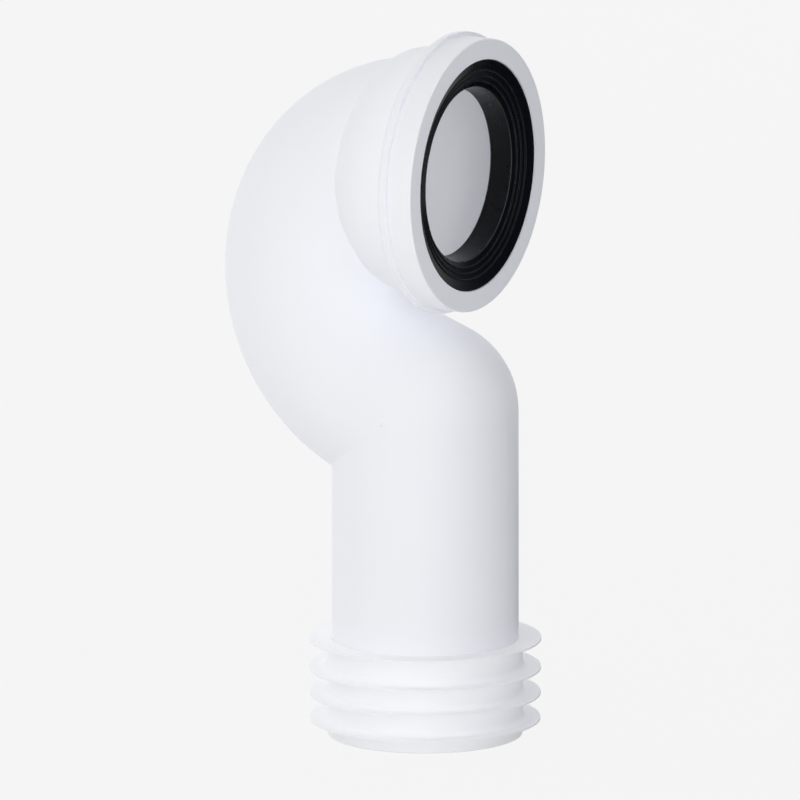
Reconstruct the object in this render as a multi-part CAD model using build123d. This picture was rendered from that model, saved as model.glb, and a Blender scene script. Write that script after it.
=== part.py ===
from build123d import *
import os
from math import cos, radians, sin, tan

# A toilet pan connector. The pan's horn pushes into the lip seal in the mouth, and the waste falls
# through a swan neck to a spigot, whose finned sleeve seals in the bore of a drain.
# Millimetres and degrees. The origin is the middle of the spigot's lower end, +Z runs up the
# spigot, and the mouth faces +X.

# Pipe and swan neck
PIPE_OD = 95.0           # outside of the spigot, the elbow and the bend
PIPE_WALL = 3.0
ELBOW_HEIGHT = 168.0     # spigot's lower end to the middle of the elbow
STUB_LENGTH = 19.0       # straight run from the elbow to the bend
STUB_FALL = 19.5         # slope of that run, falling to the elbow
NECK_GAP = 5.9           # crown of the elbow to the lowest point of the rim
MOUTH_DROP = 10.5        # mouth axis below the crown of the bend's centre line
MOUTH_REACH = 26.35      # front of the ring ahead of the bend's centre

# Cup behind the mouth
CUP_WALL = 3.0
CUP_LAND = 0.9           # how far the cup's bore lies outside the ring's mouth
CUP_DEPTH = 14.0         # back of the rim to the centre of the shoulder's arc
CUP_DRAFT = 4.0          # taper of the cup's side
CUP_SHOULDER = 20.0      # outer radius of the shoulder's arc
CUP_CONE = 45.0          # slope of the cone that closes the cup on to the bend

# Rim, nose and snap bead
RIM_PROUD = 2.1          # rim outside the ring
RIM_WIDTH = 5.6
RIM_EDGE = 0.3           # front edge of the rim, which the ring meets
RIM_ROUND = 3.3          # back edge of the rim
RIM_FILLET = 1.5         # root of the rim on the cup
NOSE_WALL = 3.0
NOSE_CHAMFER = 0.8
SEAT_STEP = 2.6          # step in the bore behind the seal's heel
SEAT_DEPTH = 6.0
BEAD_HEIGHT = 0.8        # bead on the nose that the ring snaps over
BEAD_WIDTH = 2.6

# Retaining ring
RING_WALL = 3.8
RING_LENGTH = 13.65
RING_LIP = 3.65          # thickness of the front annulus
RING_ROUND = 0.8         # outer edge of the front
RING_CHAMFER = 0.2       # outer edge of the back, against the rim

# Pan seal
RIB_COUNT = 3
RIB_PITCH = 2.95
RIB_STEP = 0.6
RIB_SLOPE = 6.0          # dish of the treads between the ribs
RIB_ROUND = 0.25
SEAL_BAND = 6.15         # smooth band outside the ribs
SEAL_SLOPE = 12.0        # dish of that band
SEAL_INSET = 0.5         # seal's front behind the ring's front
SEAL_FLANGE = 3.0        # thickness of the flange under the ring
SEAL_HEEL = 3.0          # wall of the heel inside the nose
FUNNEL_WIDTH = 3.55      # tread that leads into the sleeve
FUNNEL_SLOPE = 26.0
GRIP_LENGTH = 11.35      # thin sleeve that grips the pan's horn
GRIP_WALL = 2.2
GRIP_NARROW = 1.3        # straight part of the sleeve inside the waste way's radius
GRIP_TAPER = 4.0         # front part of the sleeve, which narrows to its straight part
GRIP_FLARE = 0.8         # radius that the tapered part loses
GRIP_BLEND = 20.0        # blend of the tapered and the straight part
GRIP_ROUND = 0.6         # front lip of the sleeve
GRIP_EDGE = 0.8          # rounding of the sleeve's free end

# Fin seal
FIN_COUNT = 4
FIN_OD = 118.1           # top fin
FIN_LEAD = 0.15          # each fin below is this much smaller in radius
FIN_THICKNESS = 1.1
FIN_FIRST = 8.2          # spigot's lower end to the middle of the lowest fin
FIN_PITCH = 13.15
TOP_FIN_PITCH = 15.1     # the top fin stands a little apart
FIN_FILLET = 2.8         # upper root of each fin that has the sleeve above it
FIN_SLEEVE_WALL = 2.0
FIN_SLEEVE_ROUND = 0.8   # outer edge of the sleeve's lower end
LOCK_HEIGHT = 1.0        # rib on the spigot that keeps the sleeve in place
LOCK_WIDTH = 4.0

# Fits
SNAP_GAP = 0.2           # clearance of the ring, the seal and the nose
STRETCH_GAP = 0.1        # between the stretched sleeve and the spigot
OVERCUT = 2.0            # how far a bore's cutter runs past a face

# Radii, worked outwards from the waste way
pipe_r = PIPE_OD / 2
waste_r = pipe_r - PIPE_WALL
sleeve_r = waste_r - GRIP_NARROW
grip_r = sleeve_r + GRIP_FLARE
crest_r = grip_r + FUNNEL_WIDTH + (RIB_COUNT - 1) * RIB_PITCH
mouth_r = crest_r + SEAL_BAND
cup_bore_r = mouth_r + CUP_LAND
cup_r = cup_bore_r + CUP_WALL
seat_r = cup_bore_r + SEAT_STEP
nose_r = seat_r + NOSE_WALL
ring_bore_r = nose_r + SNAP_GAP
ring_r = ring_bore_r + RING_WALL
rim_r = ring_r + RIM_PROUD

# Centre line of the swan neck
fall = radians(STUB_FALL)
mouth_z = ELBOW_HEIGHT + pipe_r + NECK_GAP + rim_r
crown_z = mouth_z + MOUTH_DROP
bend_radius = (crown_z - ELBOW_HEIGHT - STUB_LENGTH * sin(fall)) / (1 + cos(fall))
elbow = Vector(0, 0, ELBOW_HEIGHT)
uphill = Vector(-cos(fall), 0, sin(fall))
bend_start = elbow + uphill * STUB_LENGTH
bend_centre = bend_start + Vector(sin(fall), 0, cos(fall)) * bend_radius

# Stations along the mouth axis, from the ring's front back to the cup
face_x = bend_centre.X + MOUTH_REACH
lip_x = face_x - RING_LIP
nose_x = lip_x - SEAL_FLANGE
seat_x = nose_x - SEAT_DEPTH
rim_x = face_x - RING_LENGTH
rim_back_x = rim_x - RIM_WIDTH
bead_x = (rim_x + nose_x) / 2
bead_front_x = bead_x + BEAD_WIDTH / 2
bead_back_x = bead_x - BEAD_WIDTH / 2
shoulder_x = rim_back_x - CUP_DEPTH

mouth_plane = Plane(origin=(0, 0, mouth_z), x_dir=(1, 0, 0), z_dir=(0, -1, 0))
mouth_axis = Axis((0, 0, mouth_z), (1, 0, 0))
lock_z = FIN_FIRST + FIN_PITCH / 2


def corner(section, point):
    """The corner of a flat section that lies at a point."""
    return section.vertices().sort_by_distance(Vector(*point))[0]


def rounded(section, points, radius):
    """Round the corners of a flat section that lie at the points."""
    return fillet([corner(section, point) for point in points], radius)


def turned_on_mouth(section):
    """Turn a section, drawn as distance along the mouth axis and radius, about that axis."""
    return revolve(mouth_plane * section, axis=mouth_axis)


def bead_line(base_r):
    """The snap bead's arc, standing on the given radius."""
    return ThreePointArc((bead_front_x, base_r), (bead_x, base_r + BEAD_HEIGHT), (bead_back_x, base_r))


def cup_lines(front_x, inset):
    """The cup's side, shoulder and cone, from front_x back to the axis, inset from the outer skin."""
    draft = radians(CUP_DRAFT)
    cone = radians(CUP_CONE)
    arc_r = CUP_SHOULDER - inset
    centre_r = cup_r - (CUP_SHOULDER + CUP_DEPTH * sin(draft)) / cos(draft)
    front = (front_x, centre_r + (arc_r + (front_x - shoulder_x) * sin(draft)) / cos(draft))

    def on_arc(angle):
        return (shoulder_x - arc_r * sin(angle), centre_r + arc_r * cos(angle))

    cone_x, cone_r = on_arc(cone)
    tip = (cone_x - cone_r / tan(cone), 0)
    side = Line(front, on_arc(draft))
    shoulder = ThreePointArc(on_arc(draft), on_arc((draft + cone) / 2), on_arc(cone))
    back = Line(on_arc(cone), tip)
    return [side, shoulder, back], front, tip


def socket_outside():
    """Cup, rim and nose as one turned solid."""
    cup, cup_front, tip = cup_lines(rim_back_x, 0)
    nose = Polyline(tip, (nose_x, 0), (nose_x, nose_r), (bead_front_x, nose_r))
    rim_front = (rim_x, rim_r)
    rim_back = (rim_back_x, rim_r)
    rim = Polyline((bead_back_x, nose_r), (rim_x, nose_r), rim_front, rim_back, cup_front)
    section = make_face([nose, bead_line(nose_r), rim] + cup)
    section = rounded(section, [rim_front], RIM_EDGE)
    section = rounded(section, [rim_back], RIM_ROUND)
    section = rounded(section, [cup_front], RIM_FILLET)
    section = chamfer(corner(section, (nose_x, nose_r)), NOSE_CHAMFER)
    return turned_on_mouth(section)


def socket_bore():
    """The cup's cavity and the wider seat for the seal, open at the front."""
    cup, cup_front, tip = cup_lines(seat_x, CUP_WALL)
    open_x = nose_x + OVERCUT
    seat = Polyline(tip, (open_x, 0), (open_x, seat_r), (seat_x, seat_r), cup_front)
    return turned_on_mouth(make_face([seat] + cup))


def swan_neck(radius, foot_z):
    """Spigot, ball-sided elbow, stub and bend at one radius, ending inside the cup."""
    spigot = extrude(Pos(0, 0, foot_z) * Circle(radius), ELBOW_HEIGHT - foot_z)
    half_disc = Circle(radius) & Pos(radius, 0) * Rectangle(2 * radius, 2 * radius)
    ball_side = revolve(Pos(elbow) * half_disc, axis=Axis(elbow, (0, -1, 0)), revolution_arc=90 - STUB_FALL)
    stub = extrude(Plane(origin=elbow, z_dir=uphill) * Circle(radius), STUB_LENGTH)
    bend_disc = Plane(origin=bend_start, z_dir=uphill) * Circle(radius)
    bend = revolve(bend_disc, axis=Axis(bend_centre, (0, 1, 0)), revolution_arc=180 - STUB_FALL)
    return spigot + ball_side + stub + bend


def make_pipe_body():
    lock_rib = Pos(0, 0, lock_z) * Cylinder(pipe_r + LOCK_HEIGHT, LOCK_WIDTH)
    outside = swan_neck(pipe_r, 0) + lock_rib + socket_outside()
    bore = swan_neck(waste_r, -OVERCUT) + socket_bore()
    return outside - bore


def make_retaining_ring():
    skirt = Polyline(
        (bead_back_x, ring_bore_r),
        (rim_x, ring_bore_r),
        (rim_x, ring_r),
        (face_x, ring_r),
        (face_x, mouth_r),
        (lip_x, mouth_r),
        (lip_x, ring_bore_r),
        (bead_front_x, ring_bore_r),
    )
    section = make_face([skirt, bead_line(ring_bore_r)])
    section = rounded(section, [(face_x, ring_r)], RING_ROUND)
    section = chamfer(corner(section, (rim_x, ring_r)), RING_CHAMFER)
    return turned_on_mouth(section)


def make_pan_seal():
    front_x = face_x - SEAL_INSET
    front_r = mouth_r - SNAP_GAP
    heel_x = seat_x + SNAP_GAP
    heel_r = seat_r - SNAP_GAP
    flange_r = ring_bore_r - SNAP_GAP
    outline = [
        (nose_x, heel_r - SEAL_HEEL),
        (heel_x, heel_r - SEAL_HEEL),
        (heel_x, heel_r),
        (nose_x, heel_r),
        (nose_x, flange_r),
        (lip_x, flange_r),
        (lip_x, front_r),
        (front_x, front_r),
    ]
    crests = []
    rib_x = front_x - (front_r - crest_r) * tan(radians(SEAL_SLOPE))
    for rib in range(RIB_COUNT):
        rib_r = crest_r - rib * RIB_PITCH
        crests.append((rib_x, rib_r))
        tread_x = rib_x - RIB_STEP
        outline += [(rib_x, rib_r), (tread_x, rib_r)]
        rib_x = tread_x - RIB_PITCH * tan(radians(RIB_SLOPE))
    grip_x = tread_x - FUNNEL_WIDTH * tan(radians(FUNNEL_SLOPE))
    lip = (grip_x, grip_r)
    straight = (grip_x - GRIP_TAPER, sleeve_r)
    end_x = grip_x - GRIP_LENGTH
    back_r = sleeve_r + GRIP_WALL
    end = [(end_x, sleeve_r), (end_x, back_r)]
    back = (grip_x - GRIP_TAPER, back_r)
    root = (grip_x - SEAL_FLANGE, grip_r + GRIP_WALL)
    outline += [lip, straight, *end, back, root]
    section = make_face(Polyline(*outline, close=True))
    section = rounded(section, crests, RIB_ROUND)
    section = rounded(section, [lip], GRIP_ROUND)
    section = rounded(section, [straight], GRIP_BLEND)
    section = rounded(section, end, GRIP_EDGE)
    return turned_on_mouth(section)


def fin_levels():
    """Middle height and radius of each fin, from the lowest to the top one."""
    heights = [FIN_FIRST + FIN_PITCH * fin for fin in range(FIN_COUNT - 1)]
    heights.append(heights[-1] + TOP_FIN_PITCH)
    return [(z, FIN_OD / 2 - FIN_LEAD * (FIN_COUNT - 1 - fin)) for fin, z in enumerate(heights)]


def make_fin_seal():
    bore_r = pipe_r + STRETCH_GAP
    wall_r = bore_r + FIN_SLEEVE_WALL
    half = FIN_THICKNESS / 2
    *lower, (top_z, top_r) = fin_levels()
    foot = (wall_r, 0)
    outline = [(bore_r, 0), foot]
    roots = []
    for z, tip_r in lower:
        roots.append((wall_r, z + half))
        outline += [(wall_r, z - half), (tip_r, z - half), (tip_r, z + half), roots[-1]]
    top_face_z = top_z + half
    outline += [(wall_r, top_z - half), (top_r, top_z - half), (top_r, top_face_z), (bore_r, top_face_z)]
    section = make_face(Polyline(*outline, close=True))
    section = rounded(section, roots, FIN_FILLET)
    section = rounded(section, [foot], FIN_SLEEVE_ROUND)
    groove = Pos(bore_r, lock_z) * Rectangle(2 * LOCK_HEIGHT, LOCK_WIDTH + 2 * STRETCH_GAP)
    return revolve(Plane.XZ * (section - groove), axis=Axis.Z)


pieces = {
    "pipe_body": make_pipe_body(),
    "retaining_ring": make_retaining_ring(),
    "pan_seal": make_pan_seal(),
    "fin_seal": make_fin_seal(),
}

os.makedirs("parts", exist_ok=True)
for name, piece in pieces.items():
    export_step(piece, f"parts/{name}.step")
    print(name, round(piece.volume), "mm3")
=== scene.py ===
# %% [markdown]
# # A swan-neck toilet pan connector
# The part is a white moulded bend that carries waste from a toilet pan to a drain in the floor. A
# black lip seal in its mouth grips the pan's outlet, and soft fins on its spigot seal in the drain.
# The body and the ring are hard mouldings with clean shapes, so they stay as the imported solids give
# them. The two rubber seals are turned afresh, every piece is dressed, and the whole is lit as a
# studio would light it. Lengths are in metres, and those of the piece are written in millimetres.

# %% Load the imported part
import math

import bmesh
import bpy
from mathutils import Matrix, Vector


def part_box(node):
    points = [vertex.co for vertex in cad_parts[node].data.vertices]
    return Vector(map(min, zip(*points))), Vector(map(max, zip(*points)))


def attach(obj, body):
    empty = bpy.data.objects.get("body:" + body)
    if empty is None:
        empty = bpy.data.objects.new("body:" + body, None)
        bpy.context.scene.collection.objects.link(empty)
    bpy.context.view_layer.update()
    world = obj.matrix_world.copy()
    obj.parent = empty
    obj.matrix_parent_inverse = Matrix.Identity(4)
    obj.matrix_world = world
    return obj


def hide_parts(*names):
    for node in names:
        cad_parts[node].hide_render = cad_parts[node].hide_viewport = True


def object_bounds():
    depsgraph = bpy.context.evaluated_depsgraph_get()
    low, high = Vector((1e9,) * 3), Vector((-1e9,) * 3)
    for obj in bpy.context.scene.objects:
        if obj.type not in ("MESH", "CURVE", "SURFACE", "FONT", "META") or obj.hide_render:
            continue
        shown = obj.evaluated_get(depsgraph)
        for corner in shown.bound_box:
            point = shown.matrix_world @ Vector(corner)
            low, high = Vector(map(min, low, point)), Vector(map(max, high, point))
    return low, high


MM = 0.001

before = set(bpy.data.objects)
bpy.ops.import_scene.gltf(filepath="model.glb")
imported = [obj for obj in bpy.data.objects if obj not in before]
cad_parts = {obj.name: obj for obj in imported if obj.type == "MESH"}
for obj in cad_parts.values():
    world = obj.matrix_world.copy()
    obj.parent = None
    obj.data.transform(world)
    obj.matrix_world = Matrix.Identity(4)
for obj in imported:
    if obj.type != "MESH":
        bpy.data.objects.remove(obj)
cad_low, cad_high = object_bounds()
box_mm = [round(side / MM, 1) for side in cad_high - cad_low]
print("nodes:", sorted(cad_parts), "box in mm:", box_mm)

# %% [markdown]
# ## The camera
# The picture was taken from far away with a long lens: parallel edges stay parallel, and near and
# far circles have the same proportions. A perspective camera would need its lens and its distance
# matched by trial, and an orthographic one gives that view at once. It stands 29.5 degrees round
# from the part's side and 12.5 degrees above the horizon.

# %% Camera
TURN = math.radians(29.46)
RISE = math.radians(12.5)
FRAME_WIDTH = 0.4069
AIM_ACROSS = -0.01284
AIM_HEIGHT = 0.1733
CAMERA_DISTANCE = 1.6

across = Vector((math.cos(TURN), math.sin(TURN), 0))
level_to_camera = Vector((math.sin(TURN), -math.cos(TURN), 0))
to_camera = level_to_camera * math.cos(RISE) + Vector((0, 0, math.sin(RISE)))
aim = across * AIM_ACROSS + Vector((0, 0, AIM_HEIGHT))

lens = bpy.data.cameras.new("picture_camera")
lens.type = "ORTHO"
lens.ortho_scale = FRAME_WIDTH
camera = bpy.data.objects.new("picture_camera", lens)
camera.rotation_mode = "QUATERNION"
camera.rotation_quaternion = (-to_camera).to_track_quat("-Z", "Y")
camera.location = aim + to_camera * CAMERA_DISTANCE
bpy.context.scene.collection.objects.link(camera)
bpy.context.scene.camera = camera
print("camera at", [round(v, 3) for v in camera.location])

# %% [markdown]
# ## Wires for shaders
# Every finish below is a tree of nodes. Rows of calls that make nodes and links would hide what is
# added to what, so this class wraps one socket: an operator on it adds a Math node, and its node
# method adds any other node. A finish then reads as a few sums.


# %% Wire class
class Wire:
    """A socket of a node tree, on which sums can be written."""

    def __init__(self, tree, socket=None):
        self.tree = tree
        self.socket = socket

    def node(self, kind, settings=None, inputs=None, output=0):
        """Add a node, set it up, feed its sockets, and wrap one of its outputs."""
        made = self.tree.nodes.new(kind)
        for name, value in (settings or {}).items():
            setattr(made, name, value)
        for key, value in (inputs or {}).items():
            if isinstance(value, Wire):
                self.tree.links.new(value.socket, made.inputs[key])
            else:
                made.inputs[key].default_value = value
        return Wire(self.tree, made.outputs[output] if made.outputs else None)

    def maths(self, operation, other):
        return self.node("ShaderNodeMath", {"operation": operation}, {0: self, 1: other})

    def __add__(self, other):
        return self.maths("ADD", other)

    __radd__ = __add__

    def __mul__(self, other):
        return self.maths("MULTIPLY", other)

    __rmul__ = __mul__

    def largest(self, other):
        return self.maths("MAXIMUM", other)


def blank_tree(owner):
    """Empty the node tree of a material or a world, ready for its first node."""
    owner.use_nodes = True
    owner.node_tree.nodes.clear()
    return Wire(owner.node_tree)


print("shader sums ready")

# %% [markdown]
# ## The backdrop
# The picture's ground is one even pale grey. More light would make it too, but would wash out the
# white part. The Light Path node tells what a ray is for, so the world shows the grey only to rays
# that look at it, straight or in a mirror, and sends the part light at a plain level.

# %% World
BACKDROP = 0.913
DOME = 0.59
LOOKING_RAYS = ("Is Camera Ray", "Is Glossy Ray", "Is Transmission Ray")


def seen_directly(start):
    """1 for rays that show a thing itself, and 0 for rays that carry light."""
    straight, mirrored, through = (
        start.node("ShaderNodeLightPath", output=ray) for ray in LOOKING_RAYS
    )
    return straight.largest(mirrored).largest(through)


def grey(level):
    """A colour without tint."""
    return (level, level, level, 1.0)


world = bpy.data.worlds.new("pale_studio")
bpy.context.scene.world = world
sky = blank_tree(world)
dome = sky.node("ShaderNodeBackground", inputs={"Color": grey(1.0), "Strength": DOME})
backdrop = sky.node("ShaderNodeBackground", inputs={"Color": grey(BACKDROP), "Strength": 1.0})
both = sky.node("ShaderNodeMixShader", inputs={0: seen_directly(sky), 1: dome, 2: backdrop})
sky.node("ShaderNodeOutputWorld", inputs={"Surface": both})
print("dome", DOME, "backdrop", BACKDROP)

# %% [markdown]
# ## The floor
# The floor is a wide board that can't be told from the backdrop. A matt board alone would darken
# towards its edges. So rays that look at it see an even glow, with a small share of the matt paint
# left in, and that share keeps the part's soft shadow.

# %% Floor
FLOOR_SIZE = 12.0
FLOOR_SHADE = 0.85
FLOOR_GLOW = 0.9165
SHADOW_SHARE = 0.03


def board(name, size, place):
    """A flat square of the studio, which isn't part of the object."""
    mesh = bmesh.new()
    bmesh.ops.create_grid(mesh, x_segments=1, y_segments=1, size=size / 2)
    bmesh.ops.transform(mesh, matrix=place, verts=mesh.verts)
    data = bpy.data.meshes.new(name)
    mesh.to_mesh(data)
    mesh.free()
    thing = bpy.data.objects.new(name, data)
    bpy.context.scene.collection.objects.link(thing)
    return thing


floor = board("floor", FLOOR_SIZE, Matrix.Identity(4))
floor_paint = bpy.data.materials.new("pale_floor")
ground = blank_tree(floor_paint)
matt = ground.node("ShaderNodeBsdfDiffuse", inputs={"Color": grey(FLOOR_SHADE)})
even = ground.node("ShaderNodeEmission", inputs={"Color": grey(1.0), "Strength": FLOOR_GLOW})
shown = ground.node("ShaderNodeMixShader", inputs={0: 1 - SHADOW_SHARE, 1: matt, 2: even})
mixed = ground.node("ShaderNodeMixShader", inputs={0: seen_directly(ground), 1: matt, 2: shown})
ground.node("ShaderNodeOutputMaterial", inputs={"Surface": mixed})
floor.data.materials.append(floor_paint)
print("floor", FLOOR_SIZE, "m wide")

# %% [markdown]
# ## The lamps
# White on white shows its form by small steps of grey alone. One strong lamp would be simpler, but
# it would cut hard shadows into the white. Five big soft lamps stand round the part instead: a key
# on the left, a fill in front, one high on the right, and two low ones behind that brighten the
# edges. The fill and the high one cast no shadow, as light from all around doesn't. Cycles still
# shadows such a lamp where a ray meets it by chance, so that way of sampling is off. No lamp shows
# in reflections, where it would be a bright square on the satin white.

# %% Lamps
LAMP_DISTANCE = 2.0
LAMP_SIZE = 1.5


def soft_lamp(name, turn, rise, level, shadow):
    """A square lamp, turn degrees left of the camera and rise degrees above the horizon.

    A white card that faces it is lit to level.
    """
    way = math.radians(turn)
    up = math.radians(rise)
    flat = level_to_camera * math.cos(way) - across * math.sin(way)
    towards = flat * math.cos(up) + Vector((0, 0, math.sin(up)))
    data = bpy.data.lights.new(name, "AREA")
    data.size = LAMP_SIZE
    data.energy = level * math.pi**2 * LAMP_DISTANCE**2
    data.use_shadow = shadow
    data.cycles.use_multiple_importance_sampling = False
    lamp = bpy.data.objects.new(name, data)
    lamp.rotation_mode = "QUATERNION"
    lamp.rotation_quaternion = (-towards).to_track_quat("-Z", "Y")
    lamp.location = aim + towards * LAMP_DISTANCE
    lamp.visible_glossy = False
    bpy.context.scene.collection.objects.link(lamp)
    return lamp


lamps = [
    soft_lamp("key_softbox", turn=36, rise=12, level=0.155, shadow=True),
    soft_lamp("front_softbox", turn=-20, rise=12, level=0.29, shadow=False),
    soft_lamp("overhead_softbox", turn=-110, rise=57, level=0.155, shadow=False),
    soft_lamp("left_rim_softbox", turn=120, rise=12, level=0.25, shadow=True),
    soft_lamp("right_rim_softbox", turn=-160, rise=12, level=0.18, shadow=True),
]
print("lamps in watts:", {lamp.name: round(lamp.data.energy, 1) for lamp in lamps})

# %% [markdown]
# ## The cards
# A studio stands a black card just outside the picture, on the right, so that the white part turns
# grey on that side. This one gives back a trace of blue, because the shade on white plastic is
# cooler than its lit side. A grey card behind it and a black cloth on the floor are there for
# reflections only: without them the black seal would mirror the pale room and turn grey. The grey
# could be painted on the part, but paint would stay when the light changes.

# %% Cards
CARD_SIZE = 0.94
CARD_DISTANCE = 0.60
CARD_SHADE = (0.0, 0.012, 0.05, 1.0)
GREY_SIZE = 2.2
GREY_GAP = 0.02
GREY_SHADE = grey(0.36)
CLOTH_SIZE = 1.2
CLOTH_START = 0.03
CLOTH_LIFT = 0.002
CLOTH_SHADE = grey(0.0)


def flat_paint(name, shade):
    """A finish of one even colour, which no lamp changes."""
    paint = bpy.data.materials.new(name)
    start = blank_tree(paint)
    glow = start.node("ShaderNodeEmission", inputs={"Color": shade, "Strength": 1.0})
    start.node("ShaderNodeOutputMaterial", inputs={"Surface": glow})
    return paint


def upright(size, distance):
    """The place of a card that stands on the floor, this far to the right."""
    middle = across * distance + Vector((0, 0, size / 2))
    return Matrix.Translation(middle) @ across.to_track_quat("Z", "Y").to_matrix().to_4x4()


black_card = board("black_card", CARD_SIZE, upright(CARD_SIZE, CARD_DISTANCE))
grey_card = board("grey_card", GREY_SIZE, upright(GREY_SIZE, CARD_DISTANCE + GREY_GAP))
cloth_place = Matrix.Translation((CLOTH_START + CLOTH_SIZE / 2, 0, CLOTH_LIFT))
black_cloth = board("black_cloth", CLOTH_SIZE, Matrix.Rotation(TURN, 4, "Z") @ cloth_place)
shades = {black_card: CARD_SHADE, grey_card: GREY_SHADE, black_cloth: CLOTH_SHADE}
for thing, shade in shades.items():
    thing.data.materials.append(flat_paint(thing.name, shade))
    thing.visible_camera = False
for thing in (grey_card, black_cloth):
    thing.visible_diffuse = False
    thing.visible_shadow = False
print("black card", CARD_DISTANCE, "m to the right, grey card behind it, cloth on the floor")

# %% [markdown]
# ## Turned pieces
# Both seals are round, so each is one outline spun round an axis, as on a lathe. Cylinders and
# cones joined by Booleans would give the same form, with ragged meshes where they meet. Rubber has
# no knife edges, so every circular edge is then bevelled to its own radius: where the outline turns
# by an angle, a radius r needs a bevel that starts r times the tangent of half that angle away. The
# points on each rounding are marked in an attribute, where the black finish paints a highlight.

# %% Spin
STEPS = 192
SAME = 0.01 * MM


def spun(corners, foot, way):
    """Spin an outline of (along, out, rounding) corners round the axis that leaves foot."""
    mesh = bmesh.new()
    side = Vector((0, 1, 0))
    points = [mesh.verts.new(foot + way * along + side * out) for along, out, _ in corners]
    sides = [mesh.edges.new((points[i - 1], points[i])) for i in range(len(points))]
    turn = {"cent": foot, "axis": way, "angle": 2 * math.pi, "steps": STEPS, "use_merge": True}
    bmesh.ops.spin(mesh, geom=points + sides, **turn)
    bmesh.ops.remove_doubles(mesh, verts=mesh.verts, dist=SAME)
    bmesh.ops.recalc_face_normals(mesh, faces=mesh.faces)
    return mesh


print("spin in", STEPS, "steps")

# %% Round the edges
ROUND_CUTS = 4
ARC_SHARE = 0.95


def bend_at(corners, i):
    """How far the outline turns at corner i, as an angle."""
    before, here, after = (Vector(corners[k % len(corners)][:2]) for k in (i - 1, i, i + 1))
    return (here - before).angle(after - here)


def round_edges(mesh, corners, foot, way):
    """Round each circular edge, and mark its arc for a painted highlight, without the rims of the
    arc.
    """

    def near(corner, vert, reach):
        arm = vert.co - foot
        along = arm.dot(way)
        out = (arm - way * along).length
        return math.hypot(along - corner[0], out - corner[1]) < reach

    # Marks each rounding for the black finish, which paints a highlight there.
    painted_highlight = mesh.verts.layers.float.new("painted_highlight")
    cut = {"segments": ROUND_CUTS, "profile": 0.5, "affect": "EDGES", "material": -1}
    for i, corner in enumerate(corners):
        start = corner[2] * math.tan(bend_at(corners, i) / 2)
        hoop = [edge for edge in mesh.edges if all(near(corner, v, SAME) for v in edge.verts)]
        for vert in bmesh.ops.bevel(mesh, geom=hoop, offset=start, **cut)["verts"]:
            vert[painted_highlight] = 1.0 if near(corner, vert, ARC_SHARE * start) else 0.0


def turned(name, corners, foot, way):
    """A piece with rounded edges, spun from an outline."""
    mesh = spun(corners, foot, way)
    round_edges(mesh, corners, foot, way)
    data = bpy.data.meshes.new(name)
    mesh.to_mesh(data)
    mesh.free()
    data.shade_smooth()
    piece = bpy.data.objects.new(name, data)
    bpy.context.scene.collection.objects.link(piece)
    piece.modifiers.new("even_shading", "WEIGHTED_NORMAL")
    print(name, len(data.vertices), "vertices")
    return piece


print("roundings in", ROUND_CUTS, "cuts")

# %% [markdown]
# ## The lip seal
# One moulding in black rubber: a flange held under the white ring, a sloping band, three steps, a
# short funnel and a thin sleeve that the pan's outlet stretches. Each step has a fine bead on its
# edge, and the beads, with a painted highlight on their roundings, draw the thin light rings in the
# mouth. A bump could hint at them, but it has no outline and no shadow, so they are in the outline
# that is spun. The outline starts from the box of the imported solid, and the piece sits exactly
# where the solid does.

# %% Lip seal, flange and band
CRISP = 0.1 * MM
INNER = 0.2 * MM
EASED = 0.3 * MM
HEEL_ROOT = 1.0 * MM
BAND_INSET = 6.7 * MM
BAND_PROUD = 3.15 * MM
FLANGE = 3.0 * MM
HEEL_LENGTH = 5.8 * MM
HEEL_INSET = 3.2 * MM
HEEL = 3.0 * MM

seal_low, seal_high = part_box("pan_seal")
mouth_axis = Vector((0, 0, (seal_low.z + seal_high.z) / 2))
flange_out = (seal_high.z - seal_low.z) / 2
flange_front = seal_high.x - BAND_PROUD
flange_back = flange_front - FLANGE
heel_back = flange_back - HEEL_LENGTH
heel_out = flange_out - HEEL_INSET
band_out = flange_out - BAND_INSET
lip_seal_outline = [
    (flange_back, heel_out - HEEL, HEEL_ROOT),
    (heel_back, heel_out - HEEL, EASED),
    (heel_back, heel_out, EASED),
    (flange_back, heel_out, INNER),
    (flange_back, flange_out, EASED),
    (flange_front, flange_out, EASED),
    (flange_front, band_out, CRISP),
    (seal_high.x, band_out, EASED),
]
print("band", round(2 * band_out / MM, 1), "mm across")

# %% Lip seal, steps with beads
BAND = 5.95 * MM
BAND_SLOPE = math.radians(12)
RIB_COUNT = 3
RIB_PITCH = 2.95 * MM
RIB_DROP = 0.91 * MM
RIB_STEP = 0.88 * MM
RIB_ROOT = 0.15 * MM
BEAD = 0.42 * MM
BEAD_FLANK = 0.4 * MM
BEAD_TOP = 0.25 * MM

step_x = seal_high.x - BAND * math.tan(BAND_SLOPE)
step_out = band_out - BAND
for rib in range(RIB_COUNT):
    crest_x = step_x - rib * RIB_DROP
    crest_out = step_out - rib * RIB_PITCH
    lip_seal_outline += [
        (crest_x - BEAD, crest_out + BEAD_TOP + BEAD_FLANK, CRISP),
        (crest_x, crest_out + BEAD_TOP, CRISP),
        (crest_x, crest_out, CRISP),
        (crest_x - RIB_STEP, crest_out, RIB_ROOT),
    ]
print(RIB_COUNT, "beads, the last", round(2 * crest_out / MM, 1), "mm across")

# %% Lip seal, funnel and sleeve
FUNNEL = 2.65 * MM
FUNNEL_SLOPE = math.radians(24)
FLARE = 2.2 * MM
SLEEVE = 2.2 * MM
LIP_DEPTH = 4.0 * MM
LIP_ROUND = 0.7 * MM
SLEEVE_END = 0.8 * MM
SLEEVE_ROOT = 0.5 * MM

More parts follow.
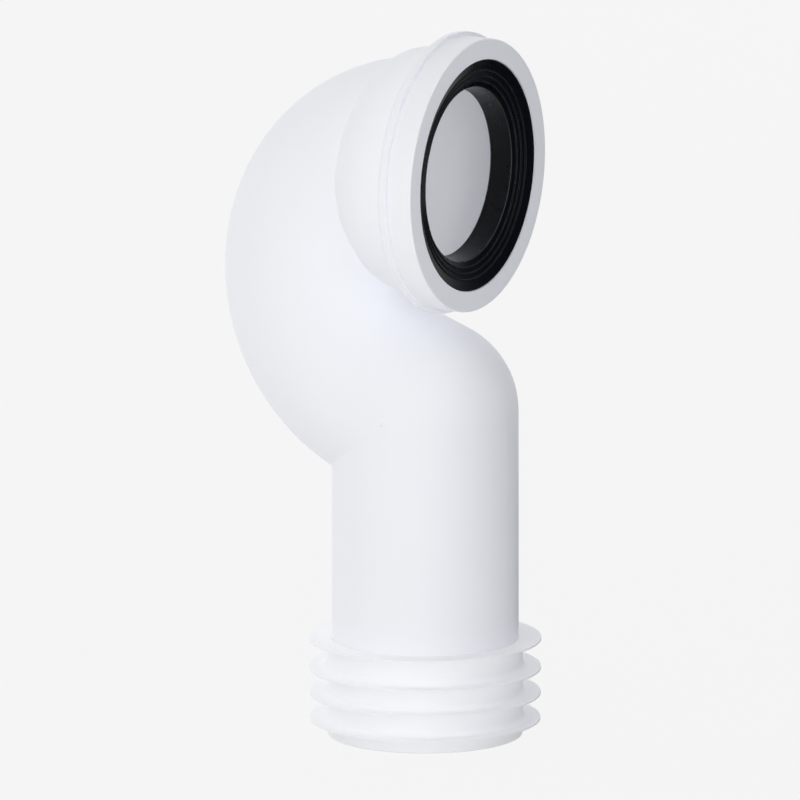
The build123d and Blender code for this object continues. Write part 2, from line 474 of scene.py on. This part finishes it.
lip_x = crest_x - RIB_STEP - FUNNEL * math.tan(FUNNEL_SLOPE)
lip_out = crest_out - FUNNEL
sleeve_in = lip_out - FLARE
root_x = lip_x - LIP_DEPTH
lip_seal_outline += [
    (lip_x, lip_out, LIP_ROUND),
    (seal_low.x, sleeve_in, SLEEVE_END),
    (seal_low.x, sleeve_in + SLEEVE, SLEEVE_END),
    (root_x, lip_out + SLEEVE, SLEEVE_ROOT),
]
lip_seal = turned("lip_seal", lip_seal_outline, mouth_axis, Vector((1, 0, 0)))
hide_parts("pan_seal")
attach(lip_seal, "root")

# %% [markdown]
# ## The fin seal
# A soft sleeve on the spigot's end with four thin fins, each a little wider than the one below. The
# lower three run into the sleeve with a round fillet on top, as the mould leaves them. The highest
# is the sleeve's flat upper end. A groove inside takes the rib that locks the sleeve on the pipe.
# The fins could be separate discs on a tube, but one outline makes them a single skin with it.

# %% Fin seal
SLEEVE_BORE = 47.6 * MM
SLEEVE_OUT = 49.6 * MM
FIN_LEVELS = [8.2 * MM, 21.35 * MM, 34.5 * MM]
FIN_THICKNESS = 1.1 * MM
FIN_LEAD = 0.15 * MM
FIN_FILLET = 2.8 * MM
GROOVE_TOP = 16.875 * MM
GROOVE_FOOT = 12.675 * MM
GROOVE_DEPTH = 1.0 * MM

fin_low, fin_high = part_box("fin_seal")
fin_levels = FIN_LEVELS + [fin_high.z - FIN_THICKNESS / 2]
fin_seal_outline = [(fin_low.z, SLEEVE_BORE, INNER), (fin_low.z, SLEEVE_OUT, SLEEVE_END)]
for i, level in enumerate(fin_levels):
    tip = fin_high.x - FIN_LEAD * (len(fin_levels) - 1 - i)
    under = level - FIN_THICKNESS / 2
    over = level + FIN_THICKNESS / 2
    fin_seal_outline += [(under, SLEEVE_OUT, EASED), (under, tip, CRISP), (over, tip, CRISP)]
    if level < fin_levels[-1]:
        fin_seal_outline.append((over, SLEEVE_OUT, FIN_FILLET))
fin_seal_outline += [
    (fin_high.z, SLEEVE_BORE, INNER),
    (GROOVE_TOP, SLEEVE_BORE, INNER),
    (GROOVE_TOP, SLEEVE_BORE + GROOVE_DEPTH, INNER),
    (GROOVE_FOOT, SLEEVE_BORE + GROOVE_DEPTH, INNER),
    (GROOVE_FOOT, SLEEVE_BORE, INNER),
]
fin_seal = turned("finned_sleeve", fin_seal_outline, Vector((0, 0, 0)), Vector((0, 0, 1)))
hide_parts("fin_seal")
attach(fin_seal, "root")

# %% [markdown]
# ## White plastic and white rubber
# The body and the ring are satin polypropylene, and the finned sleeve is a softer, duller white.
# Neither is one flat colour: slow noise clouds the colour and the gloss a little, and fast noise
# gives a very fine grain, as a mould leaves it. A painted image would have to be unwrapped on to
# every bend. Noise in object coordinates needs no unwrapping and runs on across the seams.


# %% Helpers for finishes
def noise(start, scale, detail):
    """Soft noise that is fixed to the piece."""
    place = start.node("ShaderNodeTexCoord", output="Object")
    fed = {"Vector": place, "Scale": scale, "Detail": detail}
    return start.node("ShaderNodeTexNoise", inputs=fed)


def blend(start, share, first, second):
    """The first colour where share is 0, and the second where it is 1."""
    fed = {"Factor": share, "A": first, "B": second}
    return start.node("ShaderNodeMix", {"data_type": "RGBA"}, fed, output="Result")


def dress(thing, paint):
    """Give a thing one finish."""
    thing.data.materials.clear()
    thing.data.materials.append(paint)


print("noise and blend ready")

# %% White moulding
CLOUD_SCALE = 28.0
CLOUD_DETAIL = 3.0
CLOUD_LIFT = 1.012
GLOSS_SPREAD = 0.08
GRAIN_SCALE = 1800.0
GRAIN_DETAIL = 2.0
GRAIN_DEPTH = 0.1 * MM
GRAIN_STRENGTH = 0.03
PLASTIC_IOR = 1.49


def white_moulding(name, shade, roughness):
    """A clouded, fine-grained white."""
    paint = bpy.data.materials.new(name)
    start = blank_tree(paint)
    clouds = noise(start, CLOUD_SCALE, CLOUD_DETAIL)
    grain = noise(start, GRAIN_SCALE, GRAIN_DETAIL)
    paler = [min(1.0, CLOUD_LIFT * c) for c in shade]
    relief = {"Strength": GRAIN_STRENGTH, "Distance": GRAIN_DEPTH, "Height": grain}
    shader = start.node(
        "ShaderNodeBsdfPrincipled",
        inputs={
            "Base Color": blend(start, clouds, (*shade, 1), (*paler, 1)),
            "Roughness": roughness - GLOSS_SPREAD / 2 + GLOSS_SPREAD * clouds,
            "Normal": start.node("ShaderNodeBump", inputs=relief),
            "IOR": PLASTIC_IOR,
        },
    )
    start.node("ShaderNodeOutputMaterial", inputs={"Surface": shader})
    return paint


body_white = white_moulding("satin_white_moulding", (0.889, 0.903, 0.94), 0.42)
fin_white = white_moulding("soft_white_rubber", (0.933, 0.94, 0.961), 0.5)
dress(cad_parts["pipe_body"], body_white)
dress(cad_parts["retaining_ring"], body_white)
dress(fin_seal, fin_white)
print("white finishes:", body_white.name, "and", fin_white.name)

# %% [markdown]
# ## Black rubber
# The lip seal is nearly black, with an uneven gloss where wax blooms out of the rubber. A paler
# black on its rounded edges is a painted highlight, for the light they catch. The Geometry node's
# pointiness could find edges, but it depends on how dense the mesh is. The lathe knows its
# roundings exactly, so the finish reads their mark and mixes the paler black in there, and the beads
# show as fine painted light lines.

# %% Black rubber
DEEP_BLACK = (0.004, 0.0042, 0.005, 1)
# The paler black of the painted highlight on the rounded edges.
HIGHLIGHT_BLACK = (0.050, 0.051, 0.055, 1)
HIGHLIGHT_LEAST = 0.6
HIGHLIGHT_SPREAD = 0.4
BLOOM_SCALE = 60.0
BLOOM_DETAIL = 4.0
RUBBER_ROUGHNESS = 0.24
BLOOM_ROUGHNESS = 0.08
RUBBER_SPECULAR = 0.36

seal_black = bpy.data.materials.new("black_seal_rubber")
rubber = blank_tree(seal_black)
bloom = noise(rubber, BLOOM_SCALE, BLOOM_DETAIL)
# Painted highlight: a paler black on the marked roundings, for the light that the edges catch.
edges = rubber.node("ShaderNodeAttribute", {"attribute_name": "painted_highlight"}, output="Fac")
highlight_share = edges * (HIGHLIGHT_LEAST + HIGHLIGHT_SPREAD * bloom)
skin = rubber.node(
    "ShaderNodeBsdfPrincipled",
    inputs={
        "Base Color": blend(rubber, highlight_share, DEEP_BLACK, HIGHLIGHT_BLACK),
        "Roughness": RUBBER_ROUGHNESS + BLOOM_ROUGHNESS * bloom,
        "Specular IOR Level": RUBBER_SPECULAR,
    },
)
rubber.node("ShaderNodeOutputMaterial", inputs={"Surface": skin})
dress(lip_seal, seal_black)
print("black finish:", seal_black.name)

# %% [markdown]
# ## Finish
# Blender's default view lowers the contrast of whites, and the Standard view shows a colour about
# as it is written.

# %% Finish
bpy.context.scene.view_settings.view_transform = "Standard"
